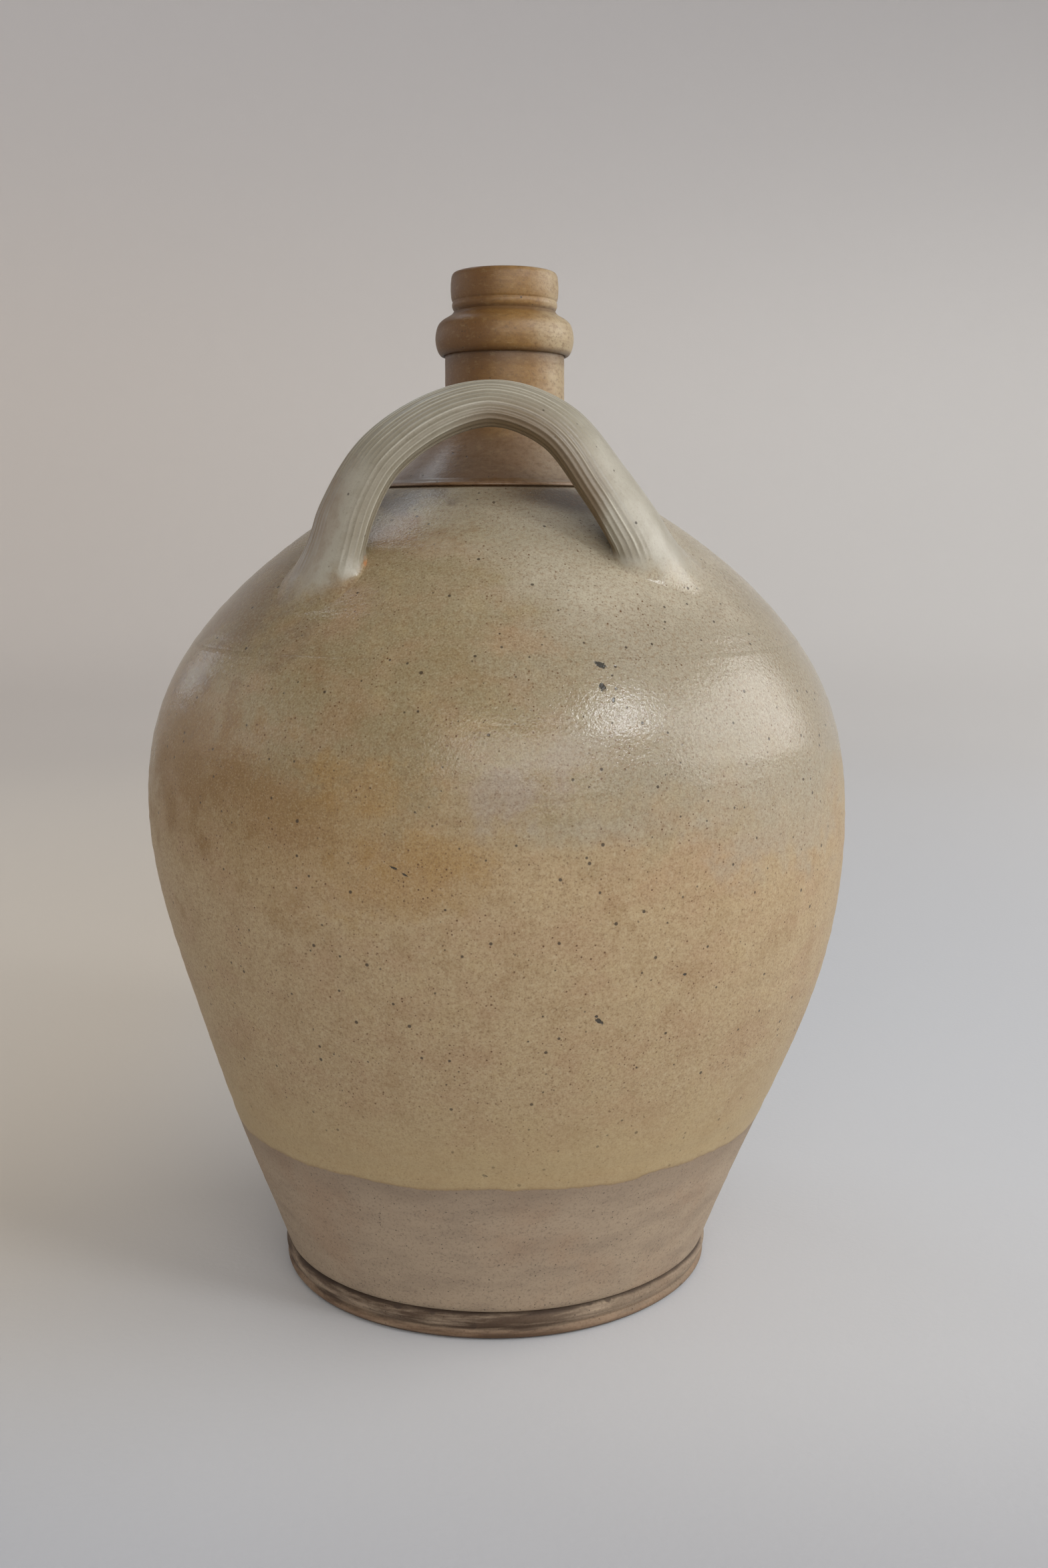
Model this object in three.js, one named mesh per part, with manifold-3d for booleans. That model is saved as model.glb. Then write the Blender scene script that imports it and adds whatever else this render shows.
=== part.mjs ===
// A hand-thrown stoneware jug: a round belly on a beaded foot, a domed shoulder, a corked-bottle neck
// with a string collar, and two ribbed strap handles luted on the shoulder in front and behind.
// Millimetres, +Z up. The origin is the centre of the foot, on the surface that the jug stands on.
import * as THREE from 'three';
import * as BufferGeometryUtils from 'three/addons/utils/BufferGeometryUtils.js';
import Module from 'manifold-3d';

// Roundness of the thrown pieces, and the steps along each stretch of their outlines
const TURN_SEGMENTS = 48;
const BEAD_STEPS = 6;
const LOWER_STEPS = 9;
const BELLY_STEPS = 4;
const SHOULDER_STEPS = 8;
const SHOULDER_SEARCH_STEPS = 32;
const FLARE_STEPS = 8;
const BORE_STEPS = 6;
const COLLAR_STEPS = 9;

// Base slab and the bead rolled round it
const BASE_THICKNESS = 9;
const BASE_RADIUS = 74;
const BEAD_HEIGHT = 10.6;
const BEAD_SOLE_RADIUS = 81.5;
const BEAD_RADIUS = 84.2;
const BEAD_GROOVE_RADIUS = 82.4;

// Outer line of the thrown wall: radius, height and lean of the wall at four turning points
const FOOT_RADIUS = 83.4;
const FOOT_LEAN = 0.385;
const BELLY_RADIUS = 132.7;
const BELLY_HEIGHT = 183;
const SEAM_RADIUS = 114;
const SEAM_HEIGHT = 245.8;
const SEAM_LEAN = -0.745;
const SHOULDER_RADIUS = 45.5;
const SHOULDER_HEIGHT = 302;
const SHOULDER_LEAN = -1.8;
const WALL = 8.5;
const INNER_LINE_CLEARANCE = 1;

// Neck: a flare on the shoulder, a straight tube and the bore that the cork fits
const NECK_FLARE_RADIUS = 44.2;
const NECK_FLARE_RISE = 36;
const NECK_RADIUS = 22.3;
const NECK_TOP_RADIUS = 19.1;
const NECK_TAPER_RISE = 4.4;
const BORE_RADIUS = 15;
const NECK_SEAT_WIDTH = 8;

// Bend of the flare, as shares of its rise: where it leaves the shoulder, turns up and opens inside
const FLARE_LEAVES = 0.25;
const FLARE_TURNS_UP = 0.5;
const FLARE_OPENS = 0.2;

// The foot and the neck sit a little to either side of the belly's axis, as thrown
const FOOT_OFFSET = -1.4;
const NECK_OFFSET = 3.2;

// String collar, and the turned lip above it
const TUBE_BELOW_COLLAR = 12.6;
const COLLAR_HEIGHT = 14.4;
const COLLAR_PROUD = 3.7;
const COLLAR_EDGE_PROUD = 1.85;
const LIP_HEIGHT = 11.4;
const LIP_PROUD = 0.9;
const LIP_EDGE_ROUND = 1.6;
const LIP_BEAD_RISE = 2.4;

// Shape of the collar: heights of its fullest line and of its sloped top, and how full that top is
const COLLAR_FULLEST_AT = 0.36;
const COLLAR_SLOPES_AT = 0.7;
const COLLAR_SLOPE_FULLNESS = 0.72;

// Strap handles: where they stand on the shoulder, how high they arch, and the strap's section
const HANDLE_SPAN = 107;
const HANDLE_ROOT_OFFSET = 66;
const HANDLE_CROWN_OFFSET = 65;
const HANDLE_RISE = 52.8;
const STRAP_WIDTH = 28;
const STRAP_THICKNESS = 14.2;
const RIB_COUNT = 8;
const RIB_DEPTH = 0.5;
const STRAP_STEPS = 26;

// The arch leans to one side: across as a share of the span, up as a share of the rise
const ARCH = [
  [-0.514, 0],
  [-0.469, 0.305],
  [-0.358, 0.673],
  [-0.164, 0.932],
  [0.02, 1],
  [0.205, 0.854],
  [0.35, 0.501],
  [0.458, 0.179],
  [0.508, 0],
];

// The strap's outer face turns towards the front, more on the two legs than at the crown (degrees)
const TWIST_LEFT = 42;
const TWIST_CROWN = 21;
const TWIST_RIGHT = 38;

// Thumbed roots: the clay pad spreads from the strap's end onto the shoulder
const ROOT_HEIGHT = 13;
const ROOT_SPREAD = 1.2;
const SPREAD_POWER = 5;
const ROOT_DEPTH = 12;
const ROOT_STEPS = 6;
const ROOT_SIDES = 16;
const LUTING_GAP = 0.3;

// Clay and glaze colours
const GLAZED_CREAM = { color: 0xa89c80, roughness: 0.32, metalness: 0 };
const TOASTED_TAN = { color: 0xaa8a62, roughness: 0.4, metalness: 0 };
const BARE_CLAY = { color: 0x97836f, roughness: 0.7, metalness: 0 };
const HANDLE_GLAZE = { color: 0xaca48c, roughness: 0.34, metalness: 0 };

const NECK_BASE = SHOULDER_HEIGHT;
const TUBE_START = NECK_BASE + NECK_FLARE_RISE;
const COLLAR_BASE = TUBE_START + TUBE_BELOW_COLLAR;
const COLLAR_TOP = COLLAR_BASE + COLLAR_HEIGHT;
const NECK_TOP = COLLAR_TOP + NECK_TAPER_RISE;
const RIM = NECK_TOP + LIP_HEIGHT;

const wasm = await Module();
wasm.setup();

const jug = new THREE.Group();
jug.name = 'stoneware_jug';

function addPiece(name, geometry, finish) {
  const mesh = new THREE.Mesh(geometry, new THREE.MeshStandardMaterial(finish));
  mesh.name = name;
  jug.add(mesh);
}

// Sideways drift of the axis: eased out from the foot to the belly, and in again over the neck's flare
function axisDrift(height) {
  const foot = FOOT_OFFSET * (1 - THREE.MathUtils.smoothstep(height, BEAD_HEIGHT, BELLY_HEIGHT));
  const neck = NECK_OFFSET * THREE.MathUtils.smoothstep(height, NECK_BASE, TUBE_START);
  return foot + neck;
}

// Turns a radius and height outline round the jug's axis: one that misses the axis closes on itself
function turned(outline) {
  const closed = outline[0].x === 0 ? outline : [...outline, outline[0]];
  const geometry = new THREE.LatheGeometry(closed, TURN_SEGMENTS);
  geometry.rotateX(Math.PI / 2);
  const place = geometry.attributes.position;
  for (let i = 0; i < place.count; i += 1) {
    place.setX(i, place.getX(i) + axisDrift(place.getZ(i)));
  }
  return geometry;
}

function point(radius, height) {
  return new THREE.Vector2(radius, height);
}

// A curve between two wall points, each with its lean (radius gained per height)
function wallCurve(start, startLean, end, endLean) {
  const third = (end.y - start.y) / 3;
  const rising = point(start.x + startLean * third, start.y + third);
  const arriving = point(end.x - endLean * third, end.y - third);
  return new THREE.CubicBezierCurve(start, rising, arriving, end);
}

const footPoint = point(FOOT_RADIUS, BEAD_HEIGHT);
const bellyPoint = point(BELLY_RADIUS, BELLY_HEIGHT);
const seamPoint = point(SEAM_RADIUS, SEAM_HEIGHT);
const shoulderPoint = point(SHOULDER_RADIUS, SHOULDER_HEIGHT);
const footToBelly = wallCurve(footPoint, FOOT_LEAN, bellyPoint, 0);
const bellyToSeam = wallCurve(bellyPoint, 0, seamPoint, SEAM_LEAN);
const seamToShoulder = wallCurve(seamPoint, SEAM_LEAN, shoulderPoint, SHOULDER_LEAN);

// Points of a curve moved square to it, outwards if the distance is positive
function offsetPoints(curve, steps, distance) {
  const points = [];
  for (let i = 0; i <= steps; i += 1) {
    const tangent = curve.getTangent(i / steps);
    const normal = point(tangent.y, -tangent.x);
    points.push(curve.getPoint(i / steps).addScaledVector(normal, distance));
  }
  return points;
}

// The value of one coordinate where a line of points crosses a value of the other one
function crossing(points, known, value, wanted) {
  const crosses = (p, i) => i > 0 && (points[i - 1][known] - value) * (p[known] - value) <= 0;
  const end = Math.max(points.findIndex(crosses), 1);
  const before = points[end - 1];
  const after = points[end];
  const share = (value - before[known]) / (after[known] - before[known]);
  return THREE.MathUtils.lerp(before[wanted], after[wanted], share);
}

// Base slab
addPiece('base_disc', turned([
  point(0, 0),
  point(BASE_RADIUS, 0),
  point(BASE_RADIUS, BASE_THICKNESS),
  point(0, BASE_THICKNESS),
]), BARE_CLAY);

// Foot bead: a rounded ring from the sole to the groove below the wall
const beadArc = new THREE.QuadraticBezierCurve(
  point(BEAD_SOLE_RADIUS, 0),
  point(2 * BEAD_RADIUS - (BEAD_SOLE_RADIUS + BEAD_GROOVE_RADIUS) / 2, BEAD_HEIGHT / 2),
  point(BEAD_GROOVE_RADIUS, BEAD_HEIGHT),
);
addPiece('foot_bead', turned([
  point(BASE_RADIUS, 0),
  ...beadArc.getPoints(BEAD_STEPS),
  point(BASE_RADIUS, BEAD_HEIGHT),
]), BARE_CLAY);

// Lower wall: foot to seam, with a flat seam face at the top
const lowerOuter = [
  ...footToBelly.getPoints(LOWER_STEPS),
  ...bellyToSeam.getPoints(BELLY_STEPS).slice(1),
];
const lowerInset = [
  ...offsetPoints(footToBelly, LOWER_STEPS, -WALL),
  ...offsetPoints(bellyToSeam, BELLY_STEPS, -WALL).slice(1),
];
const upperInset = offsetPoints(seamToShoulder, SHOULDER_STEPS, -WALL);
const wholeInset = [...lowerInset, ...upperInset.slice(1)];
const footInnerRadius = crossing(lowerInset, 'y', BEAD_HEIGHT, 'x');
const seamInnerRadius = crossing(wholeInset.slice(LOWER_STEPS), 'y', SEAM_HEIGHT, 'x');
const lowestInner = BEAD_HEIGHT + INNER_LINE_CLEARANCE;
const highestInner = SEAM_HEIGHT - INNER_LINE_CLEARANCE;
const lowerInner = lowerInset.filter((p) => p.y > lowestInner && p.y < highestInner);
addPiece('lower_wall', turned([
  ...lowerOuter,
  point(seamInnerRadius, SEAM_HEIGHT),
  ...lowerInner.reverse(),
  point(footInnerRadius, BEAD_HEIGHT),
]), GLAZED_CREAM);

// Upper wall: the shoulder dome, open at the top where the neck is luted on
const seatRadius = NECK_FLARE_RADIUS - NECK_SEAT_WIDTH;
const aboveSeam = SEAM_HEIGHT + INNER_LINE_CLEARANCE;
const outsideSeat = seatRadius + INNER_LINE_CLEARANCE;
const upperInner = upperInset.filter((p) => p.y > aboveSeam && p.x > outsideSeat);
addPiece('upper_wall', turned([
  ...seamToShoulder.getPoints(SHOULDER_STEPS),
  point(seatRadius, SHOULDER_HEIGHT),
  point(seatRadius, upperInner[upperInner.length - 1].y + INNER_LINE_CLEARANCE),
  ...upperInner.reverse(),
  point(seamInnerRadius, SEAM_HEIGHT),
]), GLAZED_CREAM);

// Neck: flare, tube and the short taper below the lip, bored for a cork
const leaving = NECK_FLARE_RISE * FLARE_LEAVES;
const turningUp = NECK_BASE + NECK_FLARE_RISE * FLARE_TURNS_UP;
const flareOuter = new THREE.CubicBezierCurve(
  point(NECK_FLARE_RADIUS, NECK_BASE),
  point(NECK_FLARE_RADIUS - leaving, NECK_BASE + leaving),
  point(NECK_RADIUS, turningUp),
  point(NECK_RADIUS, TUBE_START),
);
const flareInner = new THREE.CubicBezierCurve(
  point(BORE_RADIUS, TUBE_START),
  point(BORE_RADIUS, turningUp),
  point(seatRadius - leaving, NECK_BASE + NECK_FLARE_RISE * FLARE_OPENS),
  point(seatRadius, NECK_BASE),
);
addPiece('neck', turned([
  ...flareOuter.getPoints(FLARE_STEPS),
  point(NECK_RADIUS, COLLAR_BASE),
  point(NECK_RADIUS, COLLAR_TOP),
  point(NECK_TOP_RADIUS, NECK_TOP),
  point(BORE_RADIUS, NECK_TOP),
  ...flareInner.getPoints(BORE_STEPS),
]), TOASTED_TAN);

// String collar: undercut below, rounded out and sloped back to the tube above
const slopeProud = COLLAR_PROUD * COLLAR_SLOPE_FULLNESS;
const collarCurve = new THREE.SplineCurve([
  point(NECK_RADIUS + COLLAR_EDGE_PROUD, COLLAR_BASE),
  point(NECK_RADIUS + COLLAR_PROUD, COLLAR_BASE + COLLAR_HEIGHT * COLLAR_FULLEST_AT),
  point(NECK_RADIUS + slopeProud, COLLAR_BASE + COLLAR_HEIGHT * COLLAR_SLOPES_AT),
  point(NECK_RADIUS, COLLAR_TOP),
]);
addPiece('string_collar', turned([
  point(NECK_RADIUS, COLLAR_BASE),
  ...collarCurve.getPoints(COLLAR_STEPS),
]), TOASTED_TAN);

// Mouth lip: a short band with rounded edges above a shallow groove, and a flat rim
const lipRadius = NECK_TOP_RADIUS + LIP_PROUD;
addPiece('mouth_lip', turned([
  point(NECK_TOP_RADIUS, NECK_TOP),
  point(lipRadius, NECK_TOP + LIP_BEAD_RISE),
  point(lipRadius, NECK_TOP + LIP_HEIGHT / 2),
  point(lipRadius - LIP_PROUD / 2, RIM - LIP_EDGE_ROUND),
  point(lipRadius - LIP_PROUD / 2 - LIP_EDGE_ROUND / 3, RIM - LIP_EDGE_ROUND / 3),
  point(lipRadius - LIP_PROUD / 2 - LIP_EDGE_ROUND, RIM),
  point(BORE_RADIUS + LIP_EDGE_ROUND / 2, RIM),
  point(BORE_RADIUS, RIM - LIP_EDGE_ROUND),
  point(BORE_RADIUS, NECK_TOP),
]), TOASTED_TAN);

// A solid of the body's outside, a luting gap larger, that trims the handles and their roots
function toManifold(geometry) {
  const bare = geometry.clone();
  bare.deleteAttribute('normal');
  bare.deleteAttribute('uv');
  const merged = BufferGeometryUtils.mergeVertices(bare, 1e-4);
  return new wasm.Manifold(new wasm.Mesh({
    numProp: 3,
    vertProperties: new Float32Array(merged.attributes.position.array),
    triVerts: new Uint32Array(merged.index.array),
  }));
}

const envelopeOuter = [
  ...offsetPoints(bellyToSeam, BELLY_STEPS, LUTING_GAP),
  ...offsetPoints(seamToShoulder, SHOULDER_STEPS, LUTING_GAP).slice(1),
];
const envelope = toManifold(turned([
  point(0, envelopeOuter[0].y),
  ...envelopeOuter,
  point(0, envelopeOuter[envelopeOuter.length - 1].y),
]));

function trimmedByBody(geometry) {
  const cut = toManifold(geometry).subtract(envelope).getMesh();
  const trimmed = new THREE.BufferGeometry();
  trimmed.setAttribute('position', new THREE.BufferAttribute(new Float32Array(cut.vertProperties), 3));
  trimmed.setIndex(new THREE.BufferAttribute(new Uint32Array(cut.triVerts), 1));
  trimmed.computeVertexNormals();
  return trimmed;
}

// The strap's path stands on the shoulder, so its foot height follows the wall
const rootRadius = Math.hypot(HANDLE_SPAN / 2, HANDLE_ROOT_OFFSET);
const rootHeight = crossing(seamToShoulder.getPoints(SHOULDER_SEARCH_STEPS), 'x', rootRadius, 'y');

function strapPath() {
  const points = ARCH.map(([across, up]) => new THREE.Vector3(
    across * HANDLE_SPAN,
    -THREE.MathUtils.lerp(HANDLE_ROOT_OFFSET, HANDLE_CROWN_OFFSET, up),
    rootHeight + up * HANDLE_RISE,
  ));
  const sink = (end, next) => end.clone().sub(next).setLength(ROOT_DEPTH).add(end);
  points.unshift(sink(points[0], points[1]));
  points.push(sink(points[points.length - 1], points[points.length - 2]));
  return new THREE.CatmullRomCurve3(points, false, 'centripetal');
}

const path = strapPath();

// Frame of the strap at a place along its path: outwards from the arch, and across the strap
function strapFrame(along) {
  const tangent = path.getTangentAt(along);
  const towardsFront = new THREE.Vector3(0, -1, 0);
  const outwards = new THREE.Vector3().crossVectors(towardsFront, tangent).normalize();
  const across = new THREE.Vector3().crossVectors(outwards, tangent).normalize();
  const legTwist = along < 0.5 ? TWIST_LEFT : TWIST_RIGHT;
  const fromCrown = Math.abs(2 * along - 1);
  const twist = THREE.MathUtils.degToRad(THREE.MathUtils.lerp(TWIST_CROWN, legTwist, fromCrown));
  return {
    centre: path.getPointAt(along),
    out: outwards.clone().applyAxisAngle(tangent, twist),
    across: across.clone().applyAxisAngle(tangent, twist),
  };
}

// Joins rings of points, in order, into one closed body with flat ends
function loft(rings, mirrored) {
  const sides = rings[0].length;
  const positions = [];
  const index = [];
  const side = mirrored ? -1 : 1;
  rings.forEach((ring) => ring.forEach((p) => positions.push(p.x, p.y * side, p.z)));
  const triangle = (a, b, c) => (mirrored ? index.push(a, c, b) : index.push(a, b, c));
  for (let r = 0; r + 1 < rings.length; r += 1) {
    for (let s = 0; s < sides; s += 1) {
      const next = (s + 1) % sides;
      triangle(r * sides + s, r * sides + next, (r + 1) * sides + s);
      triangle(r * sides + next, (r + 1) * sides + next, (r + 1) * sides + s);
    }
  }
  [0, rings.length - 1].forEach((r) => {
    const middle = positions.length / 3;
    const centre = rings[r].reduce((sum, p) => sum.add(p), new THREE.Vector3()).divideScalar(sides);
    positions.push(centre.x, centre.y * side, centre.z);
    for (let s = 0; s < sides; s += 1) {
      const here = r * sides + s;
      const next = r * sides + (s + 1) % sides;
      if (r === 0) {
        triangle(middle, next, here);
      } else {
        triangle(middle, here, next);
      }
    }
  });
  const geometry = new THREE.BufferGeometry();
  geometry.setAttribute('position', new THREE.Float32BufferAttribute(positions, 3));
  geometry.setIndex(index);
  return geometry;
}

// An oval ring round the path, wider towards the roots, with ribs on its outer half
function strapRing(along, sides, ribDepth) {
  const { centre, out, across } = strapFrame(along);
  const scale = 1 + (ROOT_SPREAD - 1) * Math.abs(2 * along - 1) ** SPREAD_POWER;
  const ring = [];
  for (let s = 0; s < sides; s += 1) {
    const angle = 2 * Math.PI * s / sides;
    const outer = Math.max(0, Math.sin(angle));
    const relief = ribDepth * (s % 2) * Math.sqrt(outer);
    const wide = (STRAP_WIDTH / 2 - relief) * scale * Math.cos(angle);
    const thick = (STRAP_THICKNESS / 2 - relief) * scale * Math.sin(angle);
    ring.push(centre.clone().addScaledVector(across, wide).addScaledVector(out, thick));
  }
  return ring;
}

// Places along the path where the strap meets its two roots
const pathLength = path.getLength();
const rootShare = (ROOT_DEPTH + ROOT_HEIGHT) / pathLength;
const gapShare = LUTING_GAP / pathLength;

function strap(mirrored) {
  const rings = [];
  const start = rootShare + gapShare;
  const end = 1 - rootShare - gapShare;
  for (let i = 0; i <= STRAP_STEPS; i += 1) {
    const along = THREE.MathUtils.lerp(start, end, i / STRAP_STEPS);
    rings.push(strapRing(along, RIB_COUNT * 4, RIB_DEPTH));
  }
  return trimmedByBody(loft(rings, mirrored));
}

function root(atStart, mirrored) {
  const rings = [];
  for (let i = 0; i <= ROOT_STEPS; i += 1) {
    const share = i / ROOT_STEPS;
    const along = atStart ? share * rootShare : 1 - rootShare + share * rootShare;
    rings.push(strapRing(along, ROOT_SIDES, 0));
  }
  return trimmedByBody(loft(rings, mirrored));
}

// Front and rear handles, each with a root at its left and right end
[['front', false], ['rear', true]].forEach(([side, mirrored]) => {
  addPiece(`${side}_handle`, strap(mirrored), HANDLE_GLAZE);
  addPiece(`${side}_left_root`, root(true, mirrored), HANDLE_GLAZE);
  addPiece(`${side}_right_root`, root(false, mirrored), HANDLE_GLAZE);
});

export default jug;
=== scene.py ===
import math

import bmesh
import bpy
import numpy as np
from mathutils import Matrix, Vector


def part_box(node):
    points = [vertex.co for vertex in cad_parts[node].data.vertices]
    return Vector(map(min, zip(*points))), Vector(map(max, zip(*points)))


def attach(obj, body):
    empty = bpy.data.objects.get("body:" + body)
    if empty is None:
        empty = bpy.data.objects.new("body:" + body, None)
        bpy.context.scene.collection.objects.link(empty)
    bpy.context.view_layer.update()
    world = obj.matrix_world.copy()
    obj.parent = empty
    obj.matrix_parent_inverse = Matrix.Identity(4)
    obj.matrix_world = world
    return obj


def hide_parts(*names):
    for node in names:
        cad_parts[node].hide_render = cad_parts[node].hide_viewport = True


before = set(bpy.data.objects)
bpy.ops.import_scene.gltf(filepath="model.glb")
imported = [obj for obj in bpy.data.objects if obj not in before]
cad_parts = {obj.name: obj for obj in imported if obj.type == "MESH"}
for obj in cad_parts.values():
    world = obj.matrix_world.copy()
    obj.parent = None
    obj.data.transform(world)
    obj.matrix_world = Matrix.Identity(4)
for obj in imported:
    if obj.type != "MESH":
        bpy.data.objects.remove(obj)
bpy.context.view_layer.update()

# Base slab
# A flat round slab of stoneware clay that closes the bottom of the jug. It is bare fired clay, grey-brown
# with a pink flush, and the wall and the foot bead are worked onto its edge.
MM = 0.001
TURN_STEPS = 240
SHARP_ANGLE = 50
SLAB_EDGE_ROUND = 1.2 * MM
BELLY_HEIGHT = 183 * MM
NECK_FLARE_RISE = 36 * MM
BELLY_SWAY = 3.2 * MM
SWAY_HEIGHT = 112 * MM
SWAY_REACH = 52 * MM
PINK_CLAY = (165, 146, 123)
ASHEN_CLAY = (130, 113, 96)
FLUSHED_CLAY = (156, 129, 104)
CLAY_SPECK = (62, 50, 42)

slab_low, slab_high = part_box("base_disc")
bead_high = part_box("foot_bead")[1]
shoulder_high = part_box("upper_wall")[1]
lip_low, lip_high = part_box("mouth_lip")
foot_offset = (slab_low.x + slab_high.x) / 2
neck_offset = (lip_low.x + lip_high.x) / 2
slab_radius = (slab_high.x - slab_low.x) / 2


def eased(share):
    """A share from 0 to 1 that starts and stops gently."""
    share = np.clip(share, 0, 1)
    return share * share * (3 - 2 * share)


def axis_drift(height):
    """How far to the side the thrown axis stands: the wall sways, and foot and neck are off centre."""
    foot = foot_offset * (1 - eased((height - bead_high.z) / (BELLY_HEIGHT - bead_high.z)))
    neck = neck_offset * eased((height - shoulder_high.z) / NECK_FLARE_RISE)
    return foot + neck + BELLY_SWAY * np.exp(-(((height - SWAY_HEIGHT) / SWAY_REACH) ** 2))


def skinned(name, rings, loop=False, capped=(True, True)):
    """A mesh over rings of points: in a loop the last ring joins the first, and else the ends are capped."""
    count, around = rings.shape[:2]
    corner = np.arange(count * around).reshape(count, around)
    onward = np.roll(corner, -1, axis=1)
    if loop:
        upper, upper_onward = np.roll(corner, -1, axis=0), np.roll(onward, -1, axis=0)
    else:
        upper, upper_onward = corner[1:], onward[1:]
        corner, onward = corner[:-1], onward[:-1]
    quads = np.stack([corner, onward, upper_onward, upper], axis=2).reshape(-1, 4).tolist()
    points = rings.reshape(-1, 3).tolist()
    if not loop:
        for end, wanted in zip((0, count - 1), capped):
            if wanted:
                middle = len(points)
                points.append(rings[end].mean(axis=0).tolist())
                rim = np.arange(end * around, (end + 1) * around)
                pairs = zip(np.roll(rim, -1).tolist(), rim.tolist())
                quads += [(middle, b, a) if end else (middle, a, b) for a, b in pairs]
    mesh = bpy.data.meshes.new(name)
    mesh.from_pydata(points, [], quads)
    shape = bmesh.new()
    shape.from_mesh(mesh)
    if loop or all(capped):
        bmesh.ops.recalc_face_normals(shape, faces=shape.faces)
    shape.to_mesh(mesh)
    shape.free()
    mesh.shade_smooth()
    mesh.set_sharp_from_angle(angle=math.radians(SHARP_ANGLE))
    return mesh


def turned(name, outline, loop=True):
    """A mesh turned on the wheel: radius and height points, up the outside and down the inside."""
    radius, height = np.array(outline).T
    angle = np.linspace(0, 2 * math.pi, TURN_STEPS, endpoint=False)
    across = np.outer(radius, np.cos(angle)) + axis_drift(height)[:, None]
    deep = np.outer(radius, np.sin(angle))
    high = np.repeat(height[:, None], TURN_STEPS, axis=1)
    return skinned(name, np.stack([across, deep, high], axis=2), loop)


def placed(name, mesh):
    """A piece at the origin, with its place in its mesh."""
    piece = bpy.data.objects.new(name, mesh)
    bpy.context.scene.collection.objects.link(piece)
    return piece


def seen(red, green, blue):
    """A colour as the eye reads it, 0 to 255, as the linear light that shaders take."""
    level = np.array((red, green, blue)) / 255
    light = np.where(level <= 0.04045, level / 12.92, ((level + 0.055) / 1.055) ** 2.4)
    return (*light.tolist(), 1.0)


class Wire:
    """A socket of a node tree. Arithmetic on it adds Math nodes, and node() adds any other node."""

    def __init__(self, tree, socket=None):
        self.tree = tree
        self.socket = socket

    def node(self, kind, sockets=None, out=0, **settings):
        """A new node with these settings and inputs, as the wire of one of its outputs."""
        made = self.tree.nodes.new(kind)
        for name, value in settings.items():
            setattr(made, name, value)
        for key, value in (sockets or {}).items():
            if isinstance(value, Wire):
                self.tree.links.new(value.socket, made.inputs[key])
            else:
                made.inputs[key].default_value = value
        return Wire(self.tree, made.outputs[out] if len(made.outputs) else None)

    def other(self, out):
        """Another output of the same node."""
        return Wire(self.tree, self.socket.node.outputs[out])

    def maths(self, operation, *values):
        return self.node("ShaderNodeMath", dict(enumerate(values)), operation=operation)

    def __add__(self, value):
        return self.maths("ADD", self, value)

    def __radd__(self, value):
        return self.maths("ADD", value, self)

    def __sub__(self, value):
        return self.maths("SUBTRACT", self, value)

    def __rsub__(self, value):
        return self.maths("SUBTRACT", value, self)

    def __mul__(self, value):
        return self.maths("MULTIPLY", self, value)

    def __rmul__(self, value):
        return self.maths("MULTIPLY", value, self)

    def __truediv__(self, value):
        return self.maths("DIVIDE", self, value)

    def __rtruediv__(self, value):
        return self.maths("DIVIDE", value, self)

    def __pow__(self, value):
        return self.maths("POWER", self, value)


def between(value, low, high):
    """0 below low, 1 above high, and a gentle step between."""
    sockets = {"Value": value, "From Min": low, "From Max": high}
    if low > high:
        sockets = {"Value": value, "From Min": high, "From Max": low, "To Min": 1.0, "To Max": 0.0}
    return value.node("ShaderNodeMapRange", sockets, interpolation_type="SMOOTHSTEP")


def over(mask, under, upper):
    """The upper colour where the mask is 1, over the under colour."""
    under, upper = (c if isinstance(c, Wire) else seen(*c) for c in (under, upper))
    return mask.node("ShaderNodeMix", {0: mask, 6: under, 7: upper}, out=2, data_type="RGBA")


def stretched(place, scale):
    """The place with its three axes scaled, for patterns that run one way."""
    return place.node("ShaderNodeVectorMath", {0: place, 1: scale}, operation="MULTIPLY")


def cloud(place, size, detail=2.0, scale=(1, 1, 1)):
    """Soft irregular patches of about this size, around 0.5."""
    here = stretched(place, scale) if scale != (1, 1, 1) else place
    sockets = {"Vector": here, "Scale": 1 / size, "Detail": detail, "Roughness": 0.6}
    return place.node("ShaderNodeTexNoise", sockets)


def specks(place, spacing, radius):
    """Round specks, up to this radius, drawn one to a cell, so that only those at the surface show."""
    sockets = {"Vector": place, "Scale": 1 / spacing}
    distance = place.node("ShaderNodeTexVoronoi", sockets, out="Distance")
    draw = distance.node("ShaderNodeSeparateColor", {0: distance.other("Color")})
    largest = radius / spacing
    return between(draw * largest - distance, 0.0, largest * 0.4)


def fired(name, layers):
    """A fired finish: layers() gives its colour, its roughness and its relief in millimetres."""
    material = bpy.data.materials.new(name)
    material.use_nodes = True
    material.node_tree.nodes.clear()
    start = Wire(material.node_tree)
    colour, roughness, relief = layers(start.node("ShaderNodeTexCoord", out="Object"))
    normal = start.node("ShaderNodeBump", {"Height": relief, "Distance": MM, "Strength": 1.0})
    sockets = {"Base Color": colour, "Roughness": roughness, "Normal": normal}
    shader = start.node("ShaderNodeBsdfPrincipled", sockets)
    start.node("ShaderNodeOutputMaterial", {"Surface": shader})
    return material


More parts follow.
